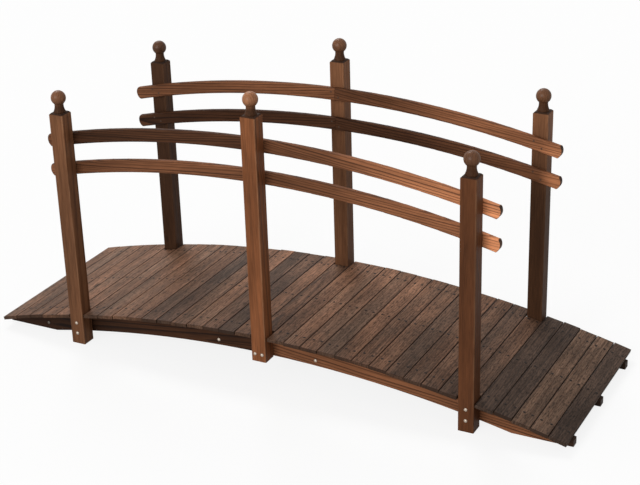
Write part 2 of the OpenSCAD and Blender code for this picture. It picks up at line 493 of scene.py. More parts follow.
# %% The shared end of a wood material
BUMP_DISTANCE = 0.0009
MATT_GLOSS = 0.07
# Pale fir for worn arrises, also used for the painted highlight on the posts' right arrises.
PALE_WEAR_AND_HIGHLIGHT = (0.330, 0.165, 0.085, 1)
WEAR_AND_HIGHLIGHT_SHARE = 0.7
END_GRAIN = (0.026, 0.014, 0.009, 1)
END_SHARE = 0.92


def new_material(name):
    material = bpy.data.materials.new(name)
    material.use_nodes = True
    tree = material.node_tree
    return material, tree, tree.nodes["Principled BSDF"]


def object_position(tree):
    return tree.nodes.new("ShaderNodeTexCoord").outputs["Object"]


def finish_wood(tree, shader, grain, early, dark, contrast, patchiness, relief, tint, wear_and_highlight=None, end=None):
    """Stains the grain, lightens it with wear and painted highlight and darkens it where the masks say, and
    feeds the shader.
    """
    stain = place_group(
        tree, scorched_stain, Early=early, Dark=dark, Late=grain["Late"], Fibre=grain["Fibre"],
        Blotch=grain["Blotch"], Knot=grain["Knot"], Contrast=contrast, Patchiness=patchiness)
    colour = stain["Colour"]
    if wear_and_highlight is not None:
        colour = blend_colour(tree, compute(tree, "MULTIPLY", wear_and_highlight, WEAR_AND_HIGHLIGHT_SHARE), colour, PALE_WEAR_AND_HIGHLIGHT)
    colour = brighten(tree, colour, tint)
    if end is not None:
        colour = blend_colour(tree, compute(tree, "MULTIPLY", end, END_SHARE), colour, END_GRAIN)
    tree.links.new(colour, shader.inputs["Base Color"])
    shader.inputs["Specular IOR Level"].default_value = MATT_GLOSS
    tree.links.new(stain["Roughness"], shader.inputs["Roughness"])
    bump = tree.nodes.new("ShaderNodeBump")
    bump.inputs["Strength"].default_value = relief
    bump.inputs["Distance"].default_value = BUMP_DISTANCE
    tree.links.new(stain["Height"], bump.inputs["Height"])
    tree.links.new(bump.outputs[0], shader.inputs["Normal"])


def dress(node_name, material):
    """Puts a material on a CAD node in place of its plain one."""
    for slot in nodes[node_name].material_slots:
        slot.material = material


print("wood end ready")

# %% [markdown]
# The posts are square lengths of fir with the grain running up them. Each comes from another tree and
# took the stain in its own way, so each has its own seed and its own tone. Over that tone each has
# three levels of colour: painted shade low down, painted light high up, and a level for its side faces
# that lifts them with painted light. The front shows the year rings faintly and the sides show them
# strongly. The grain is centred on the post by subtracting its place. The arrises are worn, and the pale
# line on the arrises to the right is stronger: painted highlight on top of the wear.

# %% Posts
POST_EARLY = (0.200, 0.086, 0.040, 1)
POST_RED = (0.208, 0.074, 0.029, 1)
POST_DARK = (0.105, 0.041, 0.018, 1)
RED_POSTS = ("near_mid", "near_right")
POST_SEED_STEP = 2.7
POST_RING, POST_WAVINESS = 0.015, 0.016
POST_PATCHINESS, POST_RELIEF = 0.5, 0.3
POST_CHAMFER = 0.006
WEAR_WIDTH = 0.007
# The pale line is faint on the left arrises and full on the right: the extra on the right is painted
# highlight.
WEAR_AND_HIGHLIGHT_ACROSS = (0.2, 1.0)
# Painted light on the posts: from this height over the foot, painted shade gives way to painted light towards
# the top.
PAINTED_GRADIENT_START = 0.55
SIDE_SKIN = (0.0005, 0.0025)
FRONT_CONTRAST, SIDE_CONTRAST = 0.38, 0.95
# Each post's tone with painted light: its level low down (painted shade), high up (painted light) and on its
# side faces (painted light).
POST_TONES_AND_PAINTED_LIGHT = {
    "near_left": (0.70, 0.88, 1.45), "near_mid": (0.97, 1.12, 1.00), "near_right": (0.50, 0.66, 1.00),
    "far_left": (0.22, 0.29, 1.60), "far_mid": (0.58, 1.12, 1.15), "far_right": (0.29, 0.98, 1.15),
}


def centred(tree, here, low, high):
    """How far a place lies from an upright piece's middle, along x and along y."""
    return [compute(tree, "SUBTRACT", here[axis], (low[axis] + high[axis]) / 2) for axis in (0, 1)]


def post_wood(place, seed, low_tone_and_shade, high_tone_and_light, painted_side_light):
    material, tree, shader = new_material(f"{place}_post_fir")
    low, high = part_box(f"{place}_post")
    here = split(tree, object_position(tree))
    across, depth = centred(tree, here, low, high)
    grain = place_group(
        tree, fir_grain, Along=here[2], Across=across, Depth=depth, Seed=seed,
        Ring_Gap=POST_RING, Waviness=POST_WAVINESS)
    half = (high[0] - low[0]) / 2
    inset = [compute(tree, "SUBTRACT", half, compute(tree, "ABSOLUTE", axis)) for axis in (across, depth)]
    arris = compute(tree, "MAXIMUM", *inset)
    wear_and_highlight = place_group(tree, arris_wear, Distance=arris, Along=here[2], Seed=seed, Width=WEAR_WIDTH)["Wear"]
    # Painted highlight: the arrises to the right get a stronger pale line than the wear alone.
    wear_and_highlight = compute(tree, "MULTIPLY", wear_and_highlight, ramp(tree, across, -half, half, *WEAR_AND_HIGHLIGHT_ACROSS))
    end = ramp(tree, here[2], high[2] - POST_CHAMFER, high[2] - POST_CHAMFER / 2)
    # Painted shade low on the post turns into painted light high up, over the post's own tone.
    tint = ramp(tree, here[2], low[2] + PAINTED_GRADIENT_START, high[2], low_tone_and_shade, high_tone_and_light)
    # The side faces get painted light.
    side = ramp(tree, inset[0], *SIDE_SKIN, 1, 0)
    tint = compute(tree, "MULTIPLY", tint, ramp(tree, side, 0, 1, 1, painted_side_light))
    contrast = ramp(tree, side, 0, 1, FRONT_CONTRAST, SIDE_CONTRAST)
    finish_wood(
        tree, shader, grain, POST_RED if place in RED_POSTS else POST_EARLY, POST_DARK,
        contrast, POST_PATCHINESS, POST_RELIEF, tint, wear_and_highlight, end)
    return material


for number, (place, tints) in enumerate(POST_TONES_AND_PAINTED_LIGHT.items(), start=1):
    dress(f"{place}_post", post_wood(place, number * POST_SEED_STEP, *tints))
print("posts dressed:", len(POST_TONES_AND_PAINTED_LIGHT))

# %% [markdown]
# The ball, its neck and collar are turned from the same fir. The hollow of the neck gets painted shade,
# which fades out over the ball's lower half into a little painted light on its top. Height over the post
# says which is which.
# Hands also polished the ball, so it gets a thin coat that fades out towards the neck.

# %% Turned finials
FINIAL_TINTS = {
    "near_left": 0.95, "near_mid": 1.58, "near_right": 0.62,
    "far_left": 0.50, "far_mid": 0.74, "far_right": 0.66,
}
FIRST_FINIAL, FINIAL_SEED_STEP = 51, 1.7
FINIAL_RING, FINIAL_WAVINESS = 0.0075, 0.010
FINIAL_CONTRAST, FINIAL_PATCHINESS = 0.7, 0.35
NECK_MIDDLE = 0.014
BALL_MIDDLE = 0.060
# Painted shade at the neck's middle, as a level of its own, and painted light on the ball's top, as a share
# of the finial's tint.
NECK_PAINTED_SHADE = 0.31
BALL_PAINTED_LIGHT = 1.08
FINIAL_COAT = 0.24
COAT_ROUGHNESS = 0.28


def finial_wood(place, seed, tint):
    material, tree, shader = new_material(f"{place}_finial_fir")
    low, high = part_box(f"{place}_finial")
    here = split(tree, object_position(tree))
    across, depth = centred(tree, here, low, high)
    grain = place_group(
        tree, fir_grain, Along=here[2], Across=across, Depth=depth, Seed=seed,
        Ring_Gap=FINIAL_RING, Waviness=FINIAL_WAVINESS)
    # Painted shade in the neck's hollow and on the ball's lower half, painted light at the ball's top.
    shade = ramp(tree, here[2], low[2] + NECK_MIDDLE, low[2] + BALL_MIDDLE, NECK_PAINTED_SHADE, tint * BALL_PAINTED_LIGHT)
    finish_wood(
        tree, shader, grain, POST_EARLY, POST_DARK, FINIAL_CONTRAST, FINIAL_PATCHINESS, POST_RELIEF, shade)
    coat = ramp(tree, here[2], low[2] + BALL_MIDDLE / 2, low[2] + BALL_MIDDLE, 0, FINIAL_COAT)
    tree.links.new(coat, shader.inputs["Coat Weight"])
    shader.inputs["Coat Roughness"].default_value = COAT_ROUGHNESS
    return material


for number, (place, tint) in enumerate(FINIAL_TINTS.items(), start=FIRST_FINIAL):
    dress(f"{place}_finial", finial_wood(place, number * FINIAL_SEED_STEP, tint))
print("finials dressed:", len(FINIAL_TINTS))

# %% [markdown]
# Rails and arches are sawn to their curve from straight boards, one board for each half. Their grain is
# straight and runs out at the edges, and it slopes down from the crown as the half does. A group folds
# the two halves together, turns the position to that slope, and gives each half its own seed.

# %% Sawn halves
OTHER_HALF_SEED = 4.3

sawn_half, given, result = new_group(
    "sawn_half",
    {"Position": VECTOR, "Crown": FLOAT, "Middle": FLOAT, "Slope": FLOAT, "Seed": FLOAT},
    {"Along": FLOAT, "Across": FLOAT, "Depth": FLOAT, "Seed": FLOAT, "Right": FLOAT, "Out": FLOAT},
)
tree = sawn_half
here = split(tree, given["Position"])
out = compute(tree, "ABSOLUTE", here[0])
up = compute(tree, "SUBTRACT", here[2], given["Crown"])
cosine = compute(tree, "COSINE", given["Slope"])
sine = compute(tree, "SINE", given["Slope"])
along = compute(tree, "SUBTRACT", compute(tree, "MULTIPLY", out, cosine), compute(tree, "MULTIPLY", up, sine))
across = compute(tree, "ADD", compute(tree, "MULTIPLY", out, sine), compute(tree, "MULTIPLY", up, cosine))
right = compute(tree, "GREATER_THAN", here[0], 0)
feed(tree, result["Along"], along)
feed(tree, result["Across"], across)
feed(tree, result["Depth"], compute(tree, "SUBTRACT", here[1], given["Middle"]))
feed(tree, result["Seed"], compute(tree, "MULTIPLY_ADD", right, OTHER_HALF_SEED, given["Seed"]))
feed(tree, result["Right"], right)
feed(tree, result["Out"], out)
print("sawn halves:", len(sawn_half.nodes), "nodes")

# %% [markdown]
# The wood of a rail or an arch puts that group before the grain. The stain changes along each half, so a
# half has three tints: at its crown, at its end post and at its tip. The rails' tips beyond the end posts
# are paler wood, and on the near rails their tint is raised further as painted light where the posts
# shade them. A rail ends in a round nose, and its end grain shows as a dark rim that follows the nose.
# An arch is charred towards its toe instead, and its rings are wider and darker.

# %% Wood of a sawn half
HALF_EARLY = (0.290, 0.115, 0.052, 1)
HALF_WAVINESS = 0.018
HALF_CONTRAST, HALF_RELIEF = 0.95, 0.5
RAIL_DARK, RAIL_RING = (0.062, 0.024, 0.012, 1), 0.0092
ARCH_DARK, ARCH_RING = (0.030, 0.011, 0.006, 1), 0.0140
HEART_ASIDE = 0.09
CHARRED_END = (0.045, 0.01125)
INNER_REACH = (0.18, 0.88)
TIP_REACH = (0.90, 0.97)
NOSE_RIM = (0.95, 0.99)
NOSE_DEPTH = (0.008, 0.012)


def half_wood(name, box, slope, seed, patchiness, left, right, nose=None):
    """Left and right are three tints each; a rail's nose is a centre and a radius."""
    material, tree, shader = new_material(name)
    low, high = box
    dark, ring_gap = (RAIL_DARK, RAIL_RING) if nose else (ARCH_DARK, ARCH_RING)
    position = object_position(tree)
    cut = place_group(
        tree, sawn_half, Position=position, Crown=high[2], Middle=(low[1] + high[1]) / 2,
        Slope=slope, Seed=seed)
    grain = place_group(
        tree, fir_grain, Along=cut["Along"], Across=compute(tree, "ADD", cut["Across"], HEART_ASIDE),
        Depth=cut["Depth"], Seed=cut["Seed"], Ring_Gap=ring_gap, Waviness=HALF_WAVINESS)
    tints = []
    for crown, post, tip in (left, right):
        inner = ramp(tree, cut["Out"], *(share * high[0] for share in INNER_REACH), crown, post)
        # Past the end post the tint moves to the tip's: paler wood, and on the near rails painted light as
        # well.
        outer = ramp(tree, cut["Out"], *(share * high[0] for share in TIP_REACH), 0, tip - post)
        tints.append(compute(tree, "ADD", inner, outer))
    change = compute(tree, "SUBTRACT", tints[1], tints[0])
    tint = compute(tree, "MULTIPLY_ADD", cut["Right"], change, tints[0])
    if nose:
        (nose_x, nose_z), nose_radius = nose
        past = compute(tree, "MAXIMUM", compute(tree, "SUBTRACT", cut["Out"], nose_x), 0)
        rise = compute(tree, "SUBTRACT", split(tree, position)[2], nose_z)
        rim = ramp(tree, hypotenuse(tree, past, rise), *(share * nose_radius for share in NOSE_RIM))
        end = compute(tree, "MULTIPLY", rim, ramp(tree, past, *NOSE_DEPTH))
    else:
        end = ramp(tree, cut["Out"], *(high[0] - reach for reach in CHARRED_END))
    finish_wood(
        tree, shader, grain, HALF_EARLY, dark, HALF_CONTRAST, patchiness, HALF_RELIEF, tint, None, end)
    return material


print("half wood ready")

# %% [markdown]
# Four rails, three arches and the boards that join the arches' halves get this wood. A rail's slope and
# the place of its nose could be read off the picture, but they follow from its arc, and the arc from the
# end posts, so they are worked out. The arches are so flat that one slope does for all three.

# %% Rails and arches
RAIL_DEPTH = 0.046
RAIL_RISE = 0.082
RAIL_NOSE = 0.030
# Crown, end post and tip tints for each half; the near rails' right tips are raised with painted light.
RAIL_TONES_AND_TIP_LIGHT = {
    "near_upper": ((0.24, 0.22, 0.62), (0.58, 1.75, 2.60)),
    "near_lower": ((0.72, 0.47, 0.76), (0.50, 1.08, 2.60)),
    "far_upper": ((0.80, 0.60, 0.66), (0.46, 1.12, 1.55)),
    "far_lower": ((0.23, 0.21, 0.28), (0.22, 0.50, 1.50)),
}
ARCH_TINTS = {
    "near": ((0.155, 0.080, 0.075), (0.64, 0.70, 0.74)),
    "middle": ((0.40, 0.40, 0.40), (0.40, 0.35, 0.30)),
    "far": ((0.45, 0.42, 0.40), (0.40, 0.35, 0.30)),
}
BOARD_TINT = (0.4, 0.4, 0.4)
ARCH_SLOPE = math.radians(5.5)
FIRST_RAIL, RAIL_SEED_STEP, RAIL_PATCHINESS = 11, 1.9, 0.6
FIRST_ARCH, ARCH_SEED_STEP, ARCH_PATCHINESS = 31, 1.3, 0.7
BOARD_SEED_STEP, BOARD_PATCHINESS = 2.9, 0.6

post_low, post_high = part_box("near_right_post")
post_x = (post_low[0] + post_high[0]) / 2
rail_radius = (post_x ** 2 + RAIL_RISE ** 2) / (2 * RAIL_RISE)

for number, (place, tints) in enumerate(RAIL_TONES_AND_TIP_LIGHT.items(), start=FIRST_RAIL):
    low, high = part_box(f"{place}_rail")
    slope = math.atan2(high[2] - low[2] - RAIL_DEPTH, high[0])
    nose_x = high[0] - RAIL_NOSE
    nose_drop = rail_radius - math.sqrt((rail_radius - RAIL_DEPTH / 2) ** 2 - nose_x ** 2)
    nose = ((nose_x, high[2] - nose_drop), RAIL_NOSE)
    seed = number * RAIL_SEED_STEP
    wood = half_wood(f"{place}_rail_fir", (low, high), slope, seed, RAIL_PATCHINESS, *tints, nose)
    dress(f"{place}_rail", wood)
for number, (place, tints) in enumerate(ARCH_TINTS.items(), start=FIRST_ARCH):
    seed = number * ARCH_SEED_STEP
    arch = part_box(f"{place}_arch")
    wood = half_wood(f"{place}_arch_fir", arch, ARCH_SLOPE, seed, ARCH_PATCHINESS, *tints)
    dress(f"{place}_arch", wood)
    seed = number * BOARD_SEED_STEP
    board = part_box(f"{place}_joining_board")
    wood = half_wood(f"{place}_board_fir", board, 0, seed, BOARD_PATCHINESS, BOARD_TINT, BOARD_TINT)
    dress(f"{place}_joining_board", wood)
print("rails and arches dressed:", len(RAIL_TONES_AND_TIP_LIGHT), len(ARCH_TINTS))

# %% [markdown]
# The planks are walked on, so their edges are eased and no two took the stain alike: most are a greyed
# brown, some stayed tan and some went nearly slate. Each plank carries numbers as attributes of its own
# mesh: a seed for its grain, a tone for its stain, how far it greyed, and how dark its edges and its end
# grain went. One material reads them all. Marks lie over the stain in layers, such as weather, dirt and
# flecks, and each layer is a noise stretched in its own way and brought to its own levels.

# %% Plank wood
PLANK_EARLY = (0.212, 0.106, 0.062, 1)
PLANK_DARK = (0.092, 0.045, 0.026, 1)
SLATE = (0.107, 0.067, 0.048, 1)
SLATE_DARK = (0.048, 0.034, 0.027, 1)
SLATE_TONES = (0.0, 0.45)
TONE_LEVELS = (0.70, 1.36)
WEATHERED = (0.130, 0.084, 0.058, 1)
WEATHER_SHARE = 0.75
PLANK_RING, PLANK_WAVINESS = 0.0085, 0.012
PLANK_CONTRAST, PLANK_PATCHINESS, PLANK_RELIEF = 0.9, 0.6, 0.5
DIRT_SEED = 6.0
# Painted shade: the deck is darker towards its near side, across this span of y.
PAINTED_SHADE_SPAN = (-0.38, 0.28)
PAINTED_SHADE_LEVELS = (0.78, 1.10)
# A layer of marks: its noise is stretched so much, used in this range, and brought to these levels.
WEATHER = ((2.0, 7, 7), (0.42, 0.68), (0.0, 1.0))
DIRT = ((5, 4, 4), (0.32, 0.66), (0.86, 1.12))
STREAKS = ((3.2, 95, 95), (0.30, 0.72), (0.72, 1.20))
FLECKS = ((62, 215, 215), (0.30, 0.56), (0.42, 1.12))
BROKEN_EDGE = ((11, 60, 60), (0.35, 0.60), (0.25, 1.0))


def mesh_number(tree, name):
    """A number that a piece's mesh carries under this name."""
    node = tree.nodes.new("ShaderNodeAttribute")
    node.attribute_type = "GEOMETRY"
    node.attribute_name = name
    return node.outputs["Fac"]


def marks(tree, position, layer, seed, detail):
    """One layer of marks over the whole deck."""
    factors, used, levels = layer
    return ramp(tree, noise(tree, stretch(tree, position, factors), seed, detail), *used, *levels)


plank_wood, tree, shader = new_material("plank_fir")
here = split(tree, object_position(tree))
height = compute(tree, "SUBTRACT", here[2], deck_centre.z)
around = compute(tree, "MULTIPLY", compute(tree, "ARCTAN2", here[0], height), deck_radius)
depth = compute(tree, "SUBTRACT", hypotenuse(tree, here[0], height), deck_radius)
board_seed = mesh_number(tree, "board_seed")
tone = mesh_number(tree, "board_tone")
greyed = mesh_number(tree, "board_grey")
board_edge = mesh_number(tree, "board_edge")
board_end = mesh_number(tree, "board_end")
grain = place_group(
    tree, fir_grain, Along=here[1], Across=around, Depth=depth, Seed=board_seed,
    Ring_Gap=PLANK_RING, Waviness=PLANK_WAVINESS)
position = combine(tree, (here[1], around, here[2]))
weather = marks(tree, position, WEATHER, board_seed, 3)
dirt = marks(tree, position, DIRT, DIRT_SEED, 3)
streak = marks(tree, position, STREAKS, board_seed, 2)
fleck = marks(tree, position, FLECKS, board_seed, 2)
broken = marks(tree, position, BROKEN_EDGE, board_seed, 2)
slate_share = ramp(tree, tone, *SLATE_TONES, 1, 0)
weather = compute(tree, "MAXIMUM", compute(tree, "MULTIPLY", weather, WEATHER_SHARE), greyed)
early = blend_colour(tree, weather, PLANK_EARLY, WEATHERED)
early = blend_colour(tree, slate_share, early, SLATE)
dark = blend_colour(tree, slate_share, PLANK_DARK, SLATE_DARK)
level = compute(tree, "MULTIPLY", streak, fleck)
level = compute(tree, "MULTIPLY", ramp(tree, tone, 0.0, 1.0, *TONE_LEVELS), level)
level = compute(tree, "MULTIPLY", level, dirt)
# Painted shade, darker towards the deck's near side.
level = compute(tree, "MULTIPLY", level, ramp(tree, here[1], *PAINTED_SHADE_SPAN, *PAINTED_SHADE_LEVELS))
edge = compute(tree, "MAXIMUM", compute(tree, "MULTIPLY", board_edge, broken), board_end)
finish_wood(
    tree, shader, grain, early, dark, PLANK_CONTRAST, PLANK_PATCHINESS, PLANK_RELIEF, level, None, edge)
print("plank wood:", len(tree.nodes), "nodes")

# %% [markdown]
# By hand, points and faces are picked with the mouse. In a script they are picked by a test on their
# place: everything is deselected in edit mode, the parts that pass are marked in object mode, and back in
# edit mode the operators act on those alone. A finished piece has its place put into its mesh.

# %% Picking and settling
def select_only(piece):
    """Leaves edit mode and selects one piece."""
    if bpy.context.mode != "OBJECT":
        bpy.ops.object.mode_set(mode="OBJECT")
    bpy.ops.object.select_all(action="DESELECT")
    piece.select_set(True)
    bpy.context.view_layer.objects.active = piece


def pick(piece, kind, wanted):
    """Selects the points, edges or faces that pass a test, and enters edit mode."""
    select_only(piece)
    bpy.ops.object.mode_set(mode="EDIT")
    bpy.ops.mesh.select_mode(type=kind)
    bpy.ops.mesh.select_all(action="DESELECT")
    bpy.ops.object.mode_set(mode="OBJECT")
    mesh = piece.data
    for part in {"VERT": mesh.vertices, "EDGE": mesh.edges, "FACE": mesh.polygons}[kind]:
        part.select = wanted(part)
    bpy.ops.object.mode_set(mode="EDIT")


def settle(piece):
    """Leaves edit mode and puts the piece's place into its mesh."""
    select_only(piece)
    bpy.ops.object.transform_apply(location=True, rotation=True, scale=True)


print("picking ready")

# %% [markdown]
# One plank is modelled by hand at the crown: a block at the plank's size, with its top edges eased by a
# bevel of two segments. An inset draws a narrow border inside the top face, so that the stain can darken
# towards the edges. This plank is only the pattern from which all the others are copied.

# %% Model one plank
EASED_EDGE = 0.0014
STAINED_EDGE = 0.0012
TOP_SKIN = 0.0001
PLANK_SMOOTHING = math.radians(50)

bpy.ops.object.select_all(action="DESELECT")
long_low, long_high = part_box(plank_name(CROWN_PLANK + 1))
plank_length = long_high[1] - long_low[1]
top = crown_height
bpy.ops.mesh.primitive_cube_add(size=1, location=(0, 0, top - plank_thickness / 2))
pattern_plank = bpy.context.object
bpy.ops.transform.resize(value=(plank_width, plank_length, plank_thickness))
settle(pattern_plank)


def upper_edge(edge):
    """Whether both ends of an edge lie in the plank's upper half."""
    ends = [pattern_plank.data.vertices[index].co for index in edge.vertices]
    return min(end.z for end in ends) > top - plank_thickness / 2


pick(pattern_plank, "EDGE", upper_edge)
bpy.ops.mesh.bevel(offset=EASED_EDGE, segments=2, affect="EDGES")
pick(pattern_plank, "FACE", lambda face: face.center.z > top - TOP_SKIN)
bpy.ops.mesh.inset(thickness=STAINED_EDGE)
settle(pattern_plank)
bpy.ops.object.shade_smooth_by_angle(angle=PLANK_SMOOTHING)
print("pattern plank:", len(pattern_plank.data.polygons), "faces")

# %% [markdown]
# The planks are laid from the left tip to the right, each a copy of the pattern with its own mesh, turned
# about the centre of the deck's arc. An Array modifier could repeat the pattern, but then all would be
# alike. Small seeded differences in length and turn keep the row from looking stamped. Planks between
# posts are shorter, the joints at the left end are tighter and show less dark, and two planks near the
# right end greyed in the weather.

# %% Lay all the planks
POST_PLANKS = (6, 18, 30)
STAINS = {
    "tan": ((5, 6, 7, 9, 14, 21), (0.84, 1.0)),
    "umber": ((11, 15, 18, 26, 27, 28), (0.28, 0.38)),
    "deep": ((12, 16, 29, 30), (0.20, 0.28)),
    "slate": ((31, 32, 35), (0.02, 0.12)),
}
COMMON_TONES = (0.48, 0.70)
GREYED_PLANKS = (33, 34)
GREYED_SHARE = 0.85
TIGHT_PLANKS = range(1, 9)
TIGHT_SHARE = 0.20
EDGE_STRENGTH = (0.62, 1.0)
END_SOAK = (0.35, 0.95)
LENGTH_PLAY = 0.006
TURN_PLAY = math.radians(0.03)
PLANK_SEED_STEP = 1.37

draw = random.Random(41)
soak_draw = random.Random(17)
short_length = crown_high[1] * 2
inner_x = plank_width / 2 - EASED_EDGE - STAINED_EDGE / 2
inner_y = plank_length / 2 - EASED_EDGE - STAINED_EDGE / 2


def plank_tone(number):
    for planks, tones in STAINS.values():
        if number in planks:
            return draw.uniform(*tones)
    return draw.uniform(*COMMON_TONES)


def mark(piece, name, values):
    """Writes one number to each point of a piece's mesh."""
    layer = piece.data.attributes.new(name, "FLOAT", "POINT")
    layer.data.foreach_set("value", values)


def edge_mark(place, strength, soak):
    """How dark a point of a plank is as a part of a long edge, and as a part of an end."""
    if abs(place.y) > inner_y:
        return 0.0, soak
    return (strength, 0.0) if abs(place.x) > inner_x or place.z < top - TOP_SKIN else (0.0, 0.0)


for number in range(1, PLANK_COUNT + 1):
    select_only(pattern_plank)
    bpy.ops.object.duplicate()
    plank = bpy.context.object
    plank.name = f"plank_{number:02d}"
    half = (short_length if number in POST_PLANKS else plank_length) / 2
    for end in (-1, 1):
        pick(plank, "VERT", lambda point: point.co.y * end > 0)
        change = half - plank_length / 2 - draw.uniform(0, LENGTH_PLAY)
        bpy.ops.transform.translate(value=(0, end * change, 0))
    bpy.ops.mesh.select_all(action="SELECT")
    twist = draw.uniform(-TURN_PLAY, TURN_PLAY)
    bpy.ops.transform.rotate(value=twist, orient_axis="Z", center_override=(0, 0, top))
    turn = (number - CROWN_PLANK) * plank_angle
    bpy.ops.transform.rotate(value=-turn, orient_axis="Y", center_override=deck_centre)
    settle(plank)
    count = len(plank.data.vertices)
    strength = draw.uniform(*EDGE_STRENGTH) * (TIGHT_SHARE if number in TIGHT_PLANKS else 1.0)
    mark(plank, "board_seed", [number * PLANK_SEED_STEP] * count)
    mark(plank, "board_tone", [plank_tone(number)] * count)
    soak = soak_draw.uniform(*END_SOAK)
    edges, ends = zip(*(edge_mark(point.co, strength, soak) for point in pattern_plank.data.vertices))
    mark(plank, "board_grey", [GREYED_SHARE if number in GREYED_PLANKS else 0.0] * count)
    mark(plank, "board_edge", edges)
    mark(plank, "board_end", ends)
    plank.data.materials.append(plank_wood)
    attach(plank, "root")
    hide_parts(plank_name(number))
bpy.data.objects.remove(pattern_plank)
print("planks laid:", PLANK_COUNT)

# %% [markdown]
# What holds the timber is iron and zinc. The nails are dull and nearly black, the screws were browned to
# go with the wood, and the bolts are yellowed zinc, clouded by handling. Each is a fine noise between two
# colours that also sets the roughness, so that no head looks like new plastic. All the metal darkens
# towards the left tip: painted shade for the bolt in the toe, which sits low in the shade of the deck.

# %% Iron and zinc
SPOT_STRETCH = (420, 420, 420)
SPOT_SEED = 2.0
SPOT_RANGE = (0.40, 0.68)
# Painted shade: the metal darkens over this span towards the left tip, down to this share.
SHADED_TOE_SPAN = (-0.90, -0.85)
TOE_PAINTED_SHADE = 0.25


def metal(name, base, stain, rough, metallic, gloss):
    material, tree, shader = new_material(name)
    position = object_position(tree)
    spots = ramp(tree, noise(tree, stretch(tree, position, SPOT_STRETCH), SPOT_SEED, 3), *SPOT_RANGE)
    # Painted shade towards the left tip, where the toe bolt sits in the deck's shade.
    toe_shade = ramp(tree, split(tree, position)[0], *SHADED_TOE_SPAN, TOE_PAINTED_SHADE, 1)
    colour = brighten(tree, blend_colour(tree, spots, base, stain), toe_shade)
    tree.links.new(colour, shader.inputs["Base Color"])
    tree.links.new(ramp(tree, spots, 0.0, 1.0, *rough), shader.inputs["Roughness"])
    shader.inputs["Metallic"].default_value = metallic
    shader.inputs["Specular IOR Level"].default_value = gloss
    return material


nail_iron = metal(
    "nail_iron", base=(0.010, 0.008, 0.007, 1), stain=(0.026, 0.014, 0.009, 1),
    rough=(0.55, 0.75), metallic=0.0, gloss=0.10)
screw_brown = metal(
    "screw_brown", base=(0.055, 0.030, 0.018, 1), stain=(0.090, 0.045, 0.024, 1),
    rough=(0.45, 0.65), metallic=0.0, gloss=0.30)
bolt_zinc = metal(
    "bolt_zinc", base=(0.47, 0.395, 0.325, 1), stain=(0.27, 0.22, 0.175, 1),
    rough=(0.42, 0.60), metallic=1.0, gloss=0.5)
print("metals:", nail_iron.name, screw_brown.name, bolt_zinc.name)

# %% [markdown]
# All round heads are turned in the same way: a filled circle is extruded upwards in short steps, and the
# face on top is drawn in after each step. One function takes the steps as pairs of a rise and the share
# of the width that is left, so a nail, a bolt and a screw differ only in their lists.

# %% Turn a round head
HEAD_SMOOTHING = math.radians(40)


def turn_head(radius, corners, steps):
    """A head on the level plane that points up, from a circle and its steps."""
    if bpy.context.mode != "OBJECT":
        bpy.ops.object.mode_set(mode="OBJECT")
    bpy.ops.object.select_all(action="DESELECT")
    bpy.ops.mesh.primitive_circle_add(vertices=corners, radius=radius, fill_type="NGON", location=(0, 0, 0))
    piece = bpy.context.object
    bpy.ops.object.mode_set(mode="EDIT")
    bpy.ops.mesh.select_all(action="SELECT")
    for rise, share in steps:
        bpy.ops.mesh.extrude_region_move(TRANSFORM_OT_translate={"value": (0, 0, rise)})
        bpy.ops.transform.resize(value=(share, share, 1))
    bpy.ops.mesh.select_all(action="SELECT")
    bpy.ops.mesh.normals_make_consistent(inside=False)
    select_only(piece)
    bpy.ops.object.shade_smooth_by_angle(angle=HEAD_SMOOTHING)
    return piece


def copy_to(pattern, place, turn):
    """A copy with its own mesh, at a place and turned from pointing up."""
    select_only(pattern)
    bpy.ops.object.duplicate()
    piece = bpy.context.object
    piece.location = place
    piece.rotation_euler = turn
    return piece


def join_pieces(pieces):
    select_only(pieces[0])
    for piece in pieces:
        piece.select_set(True)
    bpy.ops.object.transform_apply(location=True, rotation=True, scale=True)
    bpy.ops.object.join()
    return bpy.context.object


def fit(name, pieces, material):
    """Joins copies into one piece of the bridge."""
    piece = join_pieces(pieces)
    piece.name = name
    piece.data.materials.append(material)
    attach(piece, "root")
    print(name, len(pieces), "copies,", len(piece.data.polygons), "faces")


print("head tools ready")

# %% [markdown]
# Two wire nails hold each plank to each arch. Only the heads show, a little sunk in the wood with a low
# dome. They stand on the arc over the middle of the arch, and a few millimetres of seeded play show that
# they were driven by hand.

# %% Nails
NAIL_RADIUS = 0.0050
NAIL_CORNERS = 10
NAIL_SUNK = 0.0006
NAIL_DOME, NAIL_TOP = 0.0005, 0.7
NAIL_FROM_MIDDLE = 0.0150
NAIL_PLAY = 0.003

pattern_nail = turn_head(NAIL_RADIUS, NAIL_CORNERS, [(NAIL_SUNK, 1.0), (NAIL_DOME, NAIL_TOP)])
for row in ("near", "middle", "far"):
    low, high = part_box(f"{row}_arch")
    nails = []
    for number in range(1, PLANK_COUNT + 1):
        turn = (number - CROWN_PLANK) * plank_angle
        up = Vector((math.sin(turn), 0, math.cos(turn)))
        along = Vector((math.cos(turn), 0, -math.sin(turn)))
        for way in (-1, 1):
            place = deck_centre + up * (deck_radius - NAIL_SUNK)
            place += along * (way * NAIL_FROM_MIDDLE + draw.uniform(-NAIL_PLAY, NAIL_PLAY))
            place.y = (low[1] + high[1]) / 2 + draw.uniform(-NAIL_PLAY, NAIL_PLAY)
            nails.append(copy_to(pattern_nail, place, (0, turn, 0)))
    fit(f"{row}_nails", nails, nail_iron)
bpy.data.objects.remove(pattern_nail)

# %% [markdown]
# Carriage bolts go through post and arch, and through arch and joining board. Outside is a smooth dome,
# inside a washer, a six-sided nut and the end of the thread. The dome is a quarter of an ellipse in four
# steps; washer, nut and end are turned one on top of the other and joined.

